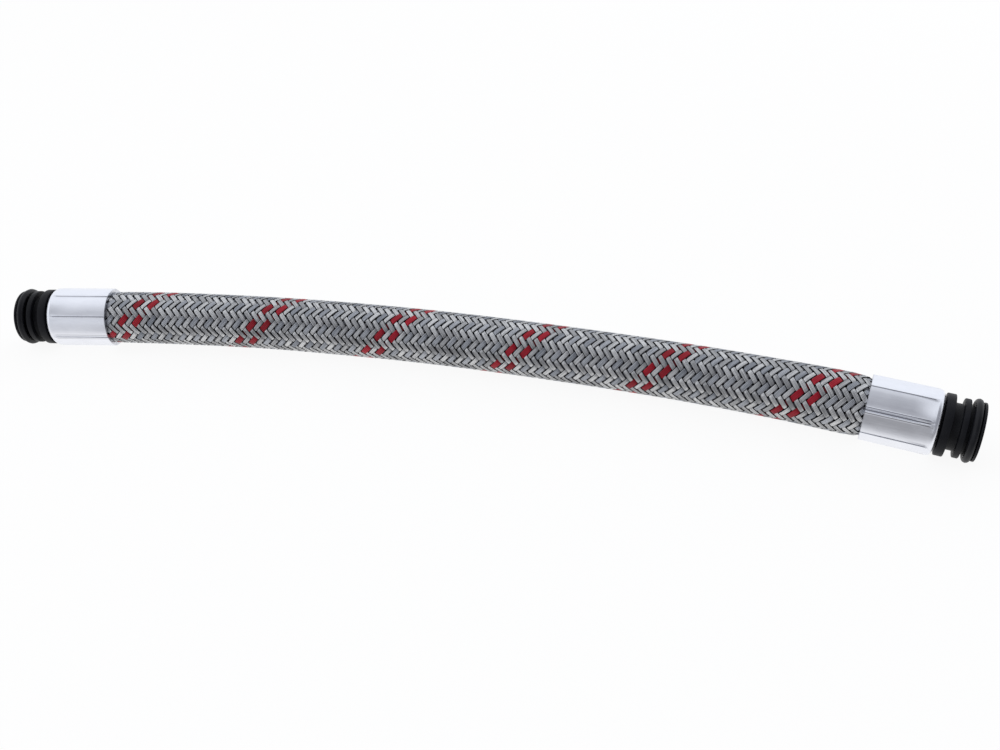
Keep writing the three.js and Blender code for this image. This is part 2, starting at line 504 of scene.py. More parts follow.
class ShaderTree:
    """A material's or the world's node tree, built from code."""

    def __init__(self, tree: bpy.types.NodeTree) -> None:
        """Takes over a tree and empties it."""
        self.tree = tree
        tree.nodes.clear()

    @classmethod
    def material(cls, name: str) -> tuple[bpy.types.Material, "ShaderTree"]:
        """A new material with an empty tree.

        Args:
            name: The material's name.

        Returns:
            The material and its tree.
        """
        material = bpy.data.materials.new(name)
        material.use_nodes = True
        return material, cls(material.node_tree)

    def add(
        self,
        kind: str,
        settings: Optional[Mapping[str, Any]] = None,
        sockets: Optional[Mapping[Union[int, str], Any]] = None,
        output: Union[int, str] = 0,
    ) -> Signal:
        """Adds a node.

        Args:
            kind: The node's type.
            settings: The node's own settings.
            sockets: What goes into its inputs, by name or number: a value or a Signal.
            output: Which output is wanted.

        Returns:
            That output.
        """
        node = self.tree.nodes.new(kind)
        for name, value in (settings or {}).items():
            setattr(node, name, value)
        for name, value in (sockets or {}).items():
            socket = node.inputs[name]
            if isinstance(value, Signal):
                self.tree.links.new(value.socket, socket)
            elif isinstance(value, tuple) and socket.type == "RGBA":
                socket.default_value = (*value[:3], 1.0)
            else:
                socket.default_value = value
        return Signal(self, node.outputs[output] if len(node.outputs) else None)

    def colour_mix(self, share: Number, first: Any, second: Any) -> Signal:
        """A mix of two colours, where share is how much of the second one shows."""
        sockets = {0: share, 6: first, 7: second}
        return self.add("ShaderNodeMix", {"data_type": "RGBA"}, sockets, 2)

    def attribute(self, name: str) -> Signal:
        """A number that the mesh holds at each point."""
        return self.add("ShaderNodeAttribute", {"attribute_name": name}, {}, "Fac")

    def place(self) -> Signal:
        """Object coordinates, in metres."""
        return self.add("ShaderNodeTexCoord", {}, {}, "Object")

    def noise(self, vector: Any, scale: float, detail: float = 2.0, rough: float = 0.5) -> Signal:
        """Noise between 0 and 1 at a scale."""
        sockets = {"Vector": vector, "Scale": scale, "Detail": detail, "Roughness": rough}
        return self.add("ShaderNodeTexNoise", {}, sockets)

    def grain(
        self,
        place: tuple[Signal, Signal],
        cells: Span,
        detail: float = 2.0,
        rough: float = 0.5,
        lot: Number = 0.0,
    ) -> Signal:
        """Noise that is drawn out along a surface.

        Args:
            place: How far along and how far across the spot lies.
            cells: The noise's cells to one unit of each.
            detail: How many finer layers the noise has.
            rough: How strong they are.
            lot: A third number, which gives each lot its own noise.

        Returns:
            The noise, between 0 and 1.
        """
        along, across = (part * count for part, count in zip(place, cells))
        return self.noise(self.join(along, across, lot), 1.0, detail, rough)

    def local(self, place: Matrix) -> Signal:
        """Object coordinates in the frame of a fitting.

        Args:
            place: The frame, in metres.

        Returns:
            The coordinates, in metres.
        """
        turn = tuple(place.to_euler())
        sockets = {"Vector": self.place(), "Location": tuple(place.translation), "Rotation": turn}
        return self.add("ShaderNodeMapping", {"vector_type": "TEXTURE"}, sockets)

    def split(self, vector: Signal) -> tuple[Signal, Signal, Signal]:
        """Takes a vector apart.

        Args:
            vector: The vector.

        Returns:
            Its three numbers.
        """
        first = self.add("ShaderNodeSeparateXYZ", {}, {"Vector": vector}, 0)
        outputs = first.socket.node.outputs
        return first, Signal(self, outputs[1]), Signal(self, outputs[2])

    def join(self, x: Number, y: Number, z: Number = 0.0) -> Signal:
        """A vector of three numbers."""
        return self.add("ShaderNodeCombineXYZ", {}, {"X": x, "Y": y, "Z": z})

    def bump(self, height: Signal, depth: float, strength: float = 1.0) -> Signal:
        """A normal bent by a height, whose full range is depth metres."""
        sockets = {"Height": height, "Distance": depth, "Strength": strength}
        return self.add("ShaderNodeBump", {}, sockets)

    def surface(self, **sockets: Any) -> None:
        """Puts a Principled surface on the material's output.

        Args:
            **sockets: What goes into its inputs, named with underscores for spaces.
        """
        named = {name.replace("_", " "): value for name, value in sockets.items()}
        shader = self.add("ShaderNodeBsdfPrincipled", {}, named)
        self.add("ShaderNodeOutputMaterial", {}, {"Surface": shader})


# Finishes


@dataclass(frozen=True)
class RibbonFinish:
    """A flat bundle of fine parallel wires: bare metal, or metal with a coloured enamel.

    A grain is its cells to a millimetre along the bundle and across its width. A span is where
    a mark begins and where it is full.
    """

    name: str
    light: Colour
    dull: Colour
    # groove is the colour of the painted shade in the seams, at the edges and under crossing
    # ribbons, and of the tarnish spots.
    groove: Colour
    metallic: float
    roughness: float
    streak_grain: Span = (0.5, 26.0)
    spot_grain: Span = (1.6, 5.0)
    strand_grain: Span = (0.06, 3.7)
    tone_span: Span = (0.34, 0.64)
    spot_span: Span = (0.62, 0.8)
    seam_span: Span = (0.5, 0.95)
    dive_span: Span = (0.1, 0.6)
    edge_span: Span = (0.88, 1.0)
    seam_shade: float = 0.92
    dive_shade_and_grime: float = 0.85
    edge_shade: float = 0.35
    tarnish_dark: float = 0.25
    relief: float = 0.00001

    def material(self, wires: int) -> bpy.types.Material:
        """The material, on a UV map with millimetres along U and the bundle's width as V.

        It is darker where the attribute "lie" says that the bundle dives under another, as painted
        shade with some grime, and the attribute "lot" gives each float its own tone. The seams
        between wires and the bundle's edges are darkened as painted shade too.

        Args:
            wires: How many wires lie side by side.

        Returns:
            The material.
        """
        material, tree = ShaderTree.material(self.name)
        along, across, _ = tree.split(tree.add("ShaderNodeUVMap", {"uv_map": "run"}, {}, "UV"))
        wire = (across * wires).floor()
        from_wire = abs((across * wires).fraction() - 0.5) * 2
        from_middle = abs(across - 0.5) * 2
        streak = tree.grain((along, across), self.streak_grain, 3.0, 0.6)
        spots = tree.grain((along, across), self.spot_grain, lot=wire)
        strand = tree.grain((along, wire), self.strand_grain, 1.0)
        tone = tree.attribute("lot") * 0.25 + strand * 0.5 + streak * 0.25
        tarnish = spots.step(*self.spot_span) * self.tarnish_dark
        # Painted shade in the seams between wires, with the tarnish spots.
        dark = (from_wire.step(*self.seam_span) * self.seam_shade).greatest(tarnish)
        # Painted shade with some grime where the ribbon dives under a crossing ribbon.
        dark = dark.greatest((1 - tree.attribute("lie").step(*self.dive_span)) * self.dive_shade_and_grime)
        # Painted shade along the ribbon's edges, beside the gaps between ribbons.
        dark = dark.greatest(from_middle.step(*self.edge_span) * self.edge_shade)
        bare = tree.colour_mix(tone.step(*self.tone_span), self.dull, self.light)
        tree.surface(
            Base_Color=tree.colour_mix(dark, bare, self.groove),
            Metallic=self.metallic,
            Roughness=self.roughness + (streak - 0.5) * 0.3 + tarnish * 0.3,
            Normal=tree.bump(streak, self.relief, 0.5),
        )
        return material


@dataclass(frozen=True)
class RubberFinish:
    """Black rubber or matt black plastic with a fine skin.

    Its grain, patches and dust are in cells of noise to a metre.
    """

    name: str
    colour: Colour
    worn: Colour
    roughness: float
    grain: float
    grain_depth: float
    gloss: float
    patch: float = 260.0
    dust: float = 2400.0
    wear_span: Span = (0.5, 0.72)
    most_wear: float = 0.6

    def material(self) -> bpy.types.Material:
        """Mixes the skin's grain, its worn patches and its dust.

        Returns:
            The material, on Object coordinates.
        """
        material, tree = ShaderTree.material(self.name)
        spot = tree.place()
        grain = tree.noise(spot, self.grain, 3.0, 0.6)
        patch = tree.noise(spot, self.patch, 3.0, 0.55)
        dust = tree.noise(spot, self.dust, 2.0, 0.7)
        wear = (patch * 0.7 + dust * 0.3).step(*self.wear_span) * self.most_wear
        tree.surface(
            Base_Color=tree.colour_mix(wear, self.colour, self.worn),
            Roughness=self.roughness + (patch - 0.5) * 0.22,
            Specular_IOR_Level=self.gloss,
            Normal=tree.bump(grain, self.grain_depth, 0.6),
        )
        return material


@dataclass(frozen=True)
class AluminiumFinish:
    """Drawn aluminium, pressed by the dies: fine lines along it and duller parting lines in
    painted shade.

    A grain is its cells to a millimetre round the ferrule and along it.
    """

    name: str
    dies: int
    line_turn: float
    line_width: float
    line_shade: float
    rib_place: int
    rib_reach: float
    pressed_length: float
    # colour and shade carry a cool tint, partly the metal's own and partly painted reflection of
    # the cool walls.
    colour: Colour = (0.93, 0.945, 1.0)
    shade: Colour = (0.85, 0.865, 0.925)
    # The colour of the painted shade in the parting lines and on the mouth's face.
    painted_shade: Colour = (0.1, 0.105, 0.13)
    roughness: float = 0.31
    # How strong the painted shade on the mouth's face is, standing in for the shadowed gap to the
    # sleeve.
    mouth_shade: float = 0.25
    drawn_grain: Span = (3.2, 0.07)
    fine_grain: Span = (14.0, 0.3)
    cloud_grain: Span = (0.22, 0.16)
    foot_span: Span = (0.06, 0.2)
    mouth_span: Span = (0.02, 0.3)
    pressed_fade: float = 0.3
    relief: float = 0.00004

    def material(self, place: Matrix, radius: float) -> bpy.types.Material:
        """The material of one ferrule.

        Args:
            place: The frame of its end fitting.
            radius: Its middle radius in millimetres.

        Returns:
            The material.
        """
        material, tree = ShaderTree.material(self.name)
        across, up, out = tree.split(tree.local(place))
        turn = up.angle_from(across)
        out_mm = out * (1 / MM)
        spot = turn * radius, out_mm
        drawn = tree.grain(spot, self.drawn_grain, 4.0, 0.65)
        fine = tree.grain(spot, self.fine_grain, rough=0.6)
        cloud = tree.grain(spot, self.cloud_grain)
        per_turn = self.dies / (2 * math.pi)
        share = (turn - math.radians(self.line_turn)) * per_turn + self.dies + 0.5
        from_line = abs(share.fraction() - 0.5) * (2 * math.pi * radius / self.dies)
        crease = 1 - from_line.step(self.line_width * 0.5, self.line_width)
        on_rib = 1 - abs(share.floor() - (self.rib_place + self.dies)).above(0.5)
        rib_foot = 1 - abs(from_line - self.rib_reach).step(*self.foot_span)
        crease = crease.greatest(rib_foot * on_rib)
        fade = self.pressed_fade
        pressed = 1 - out_mm.step(self.pressed_length - fade, self.pressed_length + fade)
        mouth = 1 - out_mm.step(*self.mouth_span)
        # Painted shade: darker in the parting grooves, at the rib's feet and on the mouth's face.
        shade_mask = (crease * self.line_shade * pressed).greatest(mouth * self.mouth_shade)
        skin = tree.colour_mix((drawn * 0.5 + cloud * 0.5).step(0.3, 0.7), self.shade, self.colour)
        tree.surface(
            Base_Color=tree.colour_mix(shade_mask, skin, self.painted_shade),
            Metallic=1.0,
            Roughness=self.roughness + (cloud - 0.5) * 0.12 + (drawn - 0.5) * 0.16 + shade_mask * 0.15,
            Normal=tree.bump(drawn * 0.7 + fine * 0.3, self.relief, 0.22),
        )
        return material


@dataclass(frozen=True)
class FloorFinish:
    """The plain pale surface that the pipe lies on, with painted shade in reflections past its
    front.

    The front is a bow in metres: belly less x squared times bow.
    """

    colour: Colour = (0.93, 0.93, 0.935)
    patch_colour: Colour = (0.9, 0.9, 0.9)
    patch: float = 3.0
    patch_share: float = 0.02
    lift: float = 0.92
    gleam: float = 0.97
    reflected_shade: Colour = (0.3, 0.3, 0.31)
    dim_from: float = -0.14
    dim_to: float = -0.1
    least_dim: float = 0.35
    belly: float = 0.0142
    bow: float = 0.756
    near: float = 0.014
    far: float = 0.034

    def material(self) -> bpy.types.Material:
        """Mixes a floor that is paler to the camera and to near reflections, and keeps the shadow;
        further reflections see painted shade.

        Returns:
            The material, on Object coordinates.
        """
        material, tree = ShaderTree.material("pale_floor")
        spot = tree.place()
        share = tree.noise(spot, self.patch) * self.patch_share
        colour = tree.colour_mix(share, self.colour, self.patch_colour)
        diffuse = tree.add("ShaderNodeBsdfDiffuse", {}, {"Color": colour})
        glow = tree.add("ShaderNodeEmission", {}, {"Color": (1.0, 1.0, 1.0), "Strength": 1.0})
        # Painted shade: a dark glow that glossy rays see on the floor beyond the pipe's front, in
        # place of shade in the room.
        shade_glow = tree.add("ShaderNodeEmission", {}, {"Color": self.reflected_shade, "Strength": 1.0})
        rays = tree.add("ShaderNodeLightPath", {}, {}, "Is Camera Ray")
        outputs = rays.socket.node.outputs
        through = Signal(tree, outputs["Is Transmission Ray"])
        glossy = Signal(tree, outputs["Is Glossy Ray"])
        x, y, _ = tree.split(spot)
        before = self.belly - x * x * self.bow - y
        close = 1 - before.step(self.near, self.far)
        bright = (rays.greatest(through) * self.lift).greatest(glossy * close * self.gleam)
        lit = tree.add("ShaderNodeMixShader", {}, {0: bright, 1: diffuse, 2: glow})
        depth = x.step(self.dim_from, self.dim_to) * (1 - self.least_dim) + self.least_dim
        dimmed = glossy * (1 - close) * depth
        mixed = tree.add("ShaderNodeMixShader", {}, {0: dimmed, 1: lit, 2: shade_glow})
        tree.add("ShaderNodeOutputMaterial", {}, {"Surface": mixed})
        return material


@dataclass(frozen=True)
class Lamp:
    """A soft square lamp over the pipe, in metres and watts."""

    name: str
    place: Place
    size: float
    watts: float

    def hang(self) -> None:
        """Adds the lamp, pointed at the middle and not seen itself."""
        turn = point_at(self.place, (0.0, 0.0, 0.0))
        bpy.ops.object.light_add(type="AREA", location=self.place, rotation=turn)
        lamp = bpy.context.object
        lamp.name = self.name
        lamp.data.shape = "SQUARE"
        lamp.data.size = self.size
        lamp.data.energy = self.watts
        lamp.visible_camera = False
        lamp.visible_glossy = False


@dataclass
class Studio:
    """The floor, the lamps and the world."""

    floor_size: float = 6.0
    floor_gap: float = 2e-5
    floor: FloorFinish = FloorFinish()
    wall_colour: Colour = (0.93, 0.955, 1.0)
    canopy_colour: Colour = (0.27, 0.275, 0.3)
    canopy_way: Place = (0.47, -0.64, 0.61)
    canopy_edge: Span = (0.5, 0.85)
    lamps: tuple[Lamp, ...] = (
        Lamp("key_lamp", (-0.8, -0.45, 0.9), 0.9, 3.6),
        Lamp("back_lamp", (0.3, 1.0, 0.75), 0.8, 2.6),
    )

    def set_up(self) -> None:
        """Adds the floor, the world's light and the lamps."""
        height = CAD_BOX[0][2] - self.floor_gap
        Bench.clear()
        bpy.ops.mesh.primitive_plane_add(size=self.floor_size, location=(0, 0, height))
        floor = bpy.context.object
        floor.name = "pale_floor"
        bpy.ops.object.transform_apply(location=True, rotation=True, scale=True)
        floor.data.materials.append(self.floor.material())
        self._light_world()
        for lamp in self.lamps:
            lamp.hang()
        log.info("studio: floor, world and %d lamps", len(self.lamps))

    def _light_world(self) -> None:
        """Lights the scene softly: pale walls all round and a duller canopy over the front."""
        world = bpy.data.worlds.new("plain_world")
        bpy.context.scene.world = world
        world.use_nodes = True
        tree = ShaderTree(world.node_tree)
        direction = tree.split(tree.add("ShaderNodeTexCoord", {}, {}, "Generated"))
        towards = sum(axis * share for axis, share in zip(direction, self.canopy_way))
        canopy = towards.step(*self.canopy_edge)
        colour = tree.colour_mix(canopy, self.wall_colour, self.canopy_colour)
        seen = tree.add("ShaderNodeLightPath", {}, {}, "Is Camera Ray")
        colour = tree.colour_mix(seen, colour, (1.0, 1.0, 1.0))
        light = tree.add("ShaderNodeBackground", {}, {"Color": colour, "Strength": 1.0})
        tree.add("ShaderNodeOutputWorld", {}, {"Surface": light})


# Hose and sleeve


@dataclass
class RubberHose:
    """The rubber hose inside the sleeve, drawn a little under the ribbons."""

    route: Route
    sleeve: "WovenSleeve"
    bore: float = 6.55
    under_sleeve: float = 0.75
    past_mouth: float = 3.0
    rings: int = 210
    sides: int = 40
    smooth_below: float = 40
    finish: RubberFinish = RubberFinish(
        "black_rubber", (0.006, 0.006, 0.008), (0.014, 0.0145, 0.017), 0.75, 1800.0, 0.00003, 0.2,
    )

    def make(self) -> Piece:
        """Builds the hose as one closed tube and dresses it.

        Returns:
            The hose.
        """
        start, stop = -self.past_mouth, self.route.length + self.past_mouth
        lengths = np.linspace(start, stop, self.rings)
        centre, level, up = (part[:, None, :] for part in self.route.at(lengths))
        turns = np.linspace(0.0, 2 * math.pi, self.sides, endpoint=False)[None, :, None]
        around = level * np.cos(turns) + up * np.sin(turns)
        outer = self.sleeve.outer_radius(lengths) - self.under_sleeve
        skin = centre + around * outer[:, None, None]
        wall = centre + around * self.bore
        places = np.concatenate([skin.reshape(-1, 3), wall.reshape(-1, 3)])
        hose = Bench.build("rubber_hose", places, self._faces())
        Bench.pick(hose)
        bpy.ops.object.shade_smooth_by_angle(angle=math.radians(self.smooth_below))
        Bench.hand_over(hose, self.finish.material(), "black_rubber", "inner_hose")
        return hose

    def _faces(self) -> list[tuple[int, int, int, int]]:
        """Joins the rings' points into faces that look outwards.

        Returns:
            The faces of the skin, the bore and the two end rims, as point numbers.
        """
        count, rings = self.sides, self.rings
        offset = count * rings
        faces = []
        for i in range(rings - 1):
            for k in range(count):
                here, there = i * count + k, i * count + (k + 1) % count
                faces.append((here, here + count, there + count, there))
                inner, beside = here + offset, there + offset
                faces.append((inner, beside, beside + count, inner + count))
        last = (rings - 1) * count
        for k in range(count):
            beside = (k + 1) % count
            faces.append((k, beside, beside + offset, k + offset))
            faces.append((last + k, last + k + offset, last + beside + offset, last + beside))
        return faces


@dataclass
class WovenSleeve:
    """The woven sleeve: flat wire ribbons that wind both ways, over two and under two."""

    route: Route
    carriers: int = 18
    pitch: float = 44.3
    column_turn: Span = (21.5, 27.5)
    first_red: float = 5.93
    red: tuple[int, ...] = (0, 2)
    wires: int = 4
    thickness: float = 0.2
    weave_depth: float = 0.155
    mouth_depth: float = 0.35
    mouth_reach: float = 1.5
    dive: float = 7.5
    wire_relief: float = 0.08
    edge_drop: float = 0.03
    back_width: float = 0.46
    pinch: float = 0.08
    past_mouth: float = 3.0
    falling_width: float = 1.4
    dull_width: float = 1.54
    light_width: float = 1.34
    red_width: float = 1.98
    light_rise: float = 0.03
    red_rise: float = 0.01
    lean: float = 0.035
    wander: float = 0.6
    wander_turn: float = 140.0
    seed: int = 7
    falling_seed: int = 100
    lot_gap: float = 37.7
    lay_gap: float = 500.0
    full_length: float = 247.0
    profile: tuple[Span, ...] = (
        (-8.0, 7.83), (-0.8, 7.95), (0.0, 8.3), (1.0, 8.6), (5.0, 8.72), (20.0, 8.82),
        (52.0, 8.84), (75.0, 8.95), (190.0, 9.0), (197.0, 9.05), (222.0, 9.12),
        (237.0, 9.28), (242.0, 9.28), (245.8, 8.95), (247.0, 8.3), (247.8, 7.95),
        (255.0, 7.83),
    )
    samples: tuple[float, ...] = (-9.0, -5.5, 0.0, 5.5, 9.0, 11.0, 14.5, 20.0, 25.5, 29.0)
    silver: RibbonFinish = RibbonFinish(
        "light_wire", (0.82, 0.825, 0.83), (0.43, 0.435, 0.445), (0.02, 0.02, 0.03), 0.9, 0.4,
    )
    grey: RibbonFinish = RibbonFinish(
        "dull_wire", (0.57, 0.59, 0.63), (0.32, 0.34, 0.38), (0.02, 0.022, 0.03), 0.9, 0.43,
    )
    enamel: RibbonFinish = RibbonFinish(
        "red_wire", (0.46, 0.01, 0.028), (0.28, 0.006, 0.016), (0.04, 0.002, 0.004), 0.5, 0.38,
    )

    def outer_radius(self, lengths: np.ndarray) -> np.ndarray:
        """The outer radius of the sleeve.

        Args:
            lengths: Millimetres from the left mouth.

        Returns:
            The radius at each length.
        """
        marks, radii = np.array(self.profile).T
        scale = self.route.length / self.full_length
        return np.interp(lengths, marks * np.where(marks > 0, scale, 1), radii)

    def make(self) -> list[Piece]:
        """Builds the ribbons in five pieces and dresses them.

        Returns:
            The pieces.
        """
        numbers = range(self.carriers)
        light = [k for k in numbers if k % 2 == 1]
        dull = [k for k in numbers if k % 2 == 0 and k not in self.red]
        silver, grey, enamel = (
            finish.material(self.wires) for finish in (self.silver, self.grey, self.enamel)
        )
        half = self.carriers // 2
        plan = (
            ("light_ribbons", Lay.RISING, light, self.light_width, self.light_rise, silver),
            ("dull_ribbons", Lay.RISING, dull, self.dull_width, 0.0, grey),
            ("red_ribbons", Lay.RISING, self.red, self.red_width, self.red_rise, enamel),
            ("falling_ribbons_a", Lay.FALLING, numbers[:half], self.falling_width, 0.0, silver),
            ("falling_ribbons_b", Lay.FALLING, numbers[half:], self.falling_width, 0.0, silver),
        )
        pieces = []
        for name, lay, chosen, width, rise, material in plan:
            piece = self._piece(name, lay, chosen, width, rise)
            slot = "red_tracer" if name == "red_ribbons" else "braided_wire"
            Bench.hand_over(piece, material, slot, "braid_sleeve")
            pieces.append(piece)
        return pieces

    def _turned(self, lay: Lay, number: int) -> tuple[np.ndarray, np.ndarray]:
        """Where a ribbon's sections lie.

        Args:
            lay: Which way it winds.
            number: Its number among the ribbons of its lay.

        Returns:
            How far each section is turned about the hose, in degrees from its first crossing, and
            each one's length from the left mouth.
        """
        period = 720.0 / self.carriers
        per_mm = 360.0 / self.pitch
        shift = number if lay is Lay.RISING else number + 0.5
        origin = self.first_red + shift * (self.pitch / self.carriers)
        low = (-self.past_mouth - origin) * per_mm
        high = (self.route.length + self.past_mouth - origin) * per_mm
        first, last = math.floor(low / period) - 1, math.ceil(high / period) + 1
        turned = np.array([k * period + s for k in range(first, last) for s in self.samples])
        turned = np.r_[low, turned[(turned > low) & (turned < high)], high]
        return turned, origin + turned / per_mm

    def _section(self, width: float) -> tuple[np.ndarray, np.ndarray]:
        """A ribbon's section, its wires first and then its back.

        Args:
            width: The ribbon's width in millimetres.

        Returns:
            How far aside each corner is, and how high.
        """
        count = 2 * self.wires + 1
        relief = np.where(np.arange(count) % 2 == 1, 0.0, -self.wire_relief)
        relief[[0, -1]] -= self.edge_drop
        aside = np.linspace(-0.5, 0.5, count) * width
        back = self.back_width * width
        return np.r_[aside, back, -back], np.r_[relief, -self.thickness, -self.thickness]

    def _ribbon(self, lay: Lay, number: int, width: float, rise: float) -> tuple[np.ndarray, ...]:
        """One ribbon's sections.

        Args:
            lay: Which way it winds.
            number: Its number among the ribbons of its lay.
            width: Its width in millimetres.
            rise: How much higher than the others it lies.

        Returns:
            The places, sections by corners by 3, the U and V of each, how high it lies, and
            the chance tone of its float.
        """
        way = lay.value
        falling = lay is Lay.FALLING
        turned, centre = self._turned(lay, number)
        rounds = np.cos(np.radians(turned * self.carriers / 2))
        weave = np.tanh(self.dive * rounds) * way
        floats = turned / (720.0 / self.carriers) + (0.0 if falling else 0.5)
        floats = np.floor(floats).astype(int)
        floats -= floats.min()
        chance = np.random.default_rng(self.seed + number + (self.falling_seed if falling else 0))
        leans = chance.uniform(-1.0, 1.0, floats.max() + 1)[floats]
        drift = self.wander * np.sin(turned / self.wander_turn + chance.uniform(0.0, 6.28))

        from_mouth = np.minimum(centre, self.route.length - centre)
        ends = np.clip(from_mouth / self.mouth_reach, 0.0, 1.0)
        radius = self.outer_radius(centre)
        depth = self.weave_depth * (self.mouth_depth + (1 - self.mouth_depth) * ends)
        crown = radius - depth * (1 - weave) + rise * weave * ends
        tilt = np.arctan2(2 * math.pi * radius, self.pitch)

        aside, relief = self._section(width)
        spread = 1 - self.pinch * (1 - np.abs(rounds)) ** 2
        reach = aside * (spread / np.sin(2 * tilt))[:, None]
        where = centre[:, None] - reach * np.cos(tilt)[:, None]
        column = np.interp(where, (0.0, self.route.length), self.column_turn)
        swing = np.degrees(reach * np.sin(tilt)[:, None] / radius[:, None])
        angle = np.radians(column + way * (turned[:, None] + swing) + drift[:, None])
        tip = np.clip(aside / width, -0.5, 0.5)
        height = crown[:, None] + relief + (leans * self.lean)[:, None] * tip
        places, level, up = self.route.at(where)
        out = level * np.cos(angle)[..., None] + up * np.sin(angle)[..., None]

        run = centre / math.cos(float(tilt.mean())) + number * self.lot_gap
        run += self.lay_gap if falling else 0.0
        ones = np.ones(len(aside))
        sides = np.ones(len(centre))[:, None] * np.clip(aside / width + 0.5, 0.0, 1.0)
        lie, lot = (0.5 + 0.5 * value[:, None] * ones for value in (weave, leans))
        return places + out * height[..., None], run[:, None] * ones, sides, lie, lot

    def _piece(
        self, name: str, lay: Lay, numbers: Sequence[int], width: float, rise: float,
    ) -> Piece:
        """Several ribbons as one object.

        Args:
            name: The object's name.
            lay: Which way the ribbons wind.
            numbers: Their numbers among the ribbons of that lay.
            width: Their width in millimetres.
            rise: How much higher than the others they lie.

        Returns:
            The object.
        """
        ribbons = [self._ribbon(lay, number, width, rise) for number in numbers]
        faces, base = [], 0
        for rows, corners in (ribbon[0].shape[:2] for ribbon in ribbons):
            index = base + np.arange(rows * corners).reshape(rows, corners)
            beside = np.roll(index, -1, axis=1)
            quads = np.stack([index[:-1], beside[:-1], beside[1:], index[1:]], axis=-1)
            rings = [*quads.reshape(-1, 4).tolist(), index[0][::-1].tolist(), index[-1].tolist()]
            faces.extend(ring[::-1] if lay is Lay.RISING else ring for ring in rings)
            base += rows * corners
        places, runs, sides, lies, lots = (
            np.concatenate([part.reshape(-1, *part.shape[2:]) for part in parts])
            for parts in zip(*ribbons)
        )
        piece = Bench.build(name, places, faces)
        mesh = piece.data
        corner = np.empty(len(mesh.loops), dtype=np.int64)
        mesh.loops.foreach_get("vertex_index", corner)
        spots = np.stack([runs[corner], sides[corner]], axis=1)
        mesh.uv_layers.new(name="run").data.foreach_set("uv", spots.astype(np.float32).ravel())
        for label, values in (("lie", lies), ("lot", lots)):
            level = mesh.attributes.new(label, "FLOAT", "POINT")
            level.data.foreach_set("value", values.astype(np.float32))
        mesh.polygons.foreach_set("use_smooth", np.ones(len(mesh.polygons), dtype=bool))
        return piece


# End fittings


@dataclass(frozen=True)
class Crimp:
    """How the dies have pressed one ferrule, in millimetres and degrees."""

    flat_wall: float
    bulge: float
    line_turn: float
    line_lip: float
    line_reach: float
    # How strong the painted shade in the parting lines is.
    line_shade: float
    rib_place: int


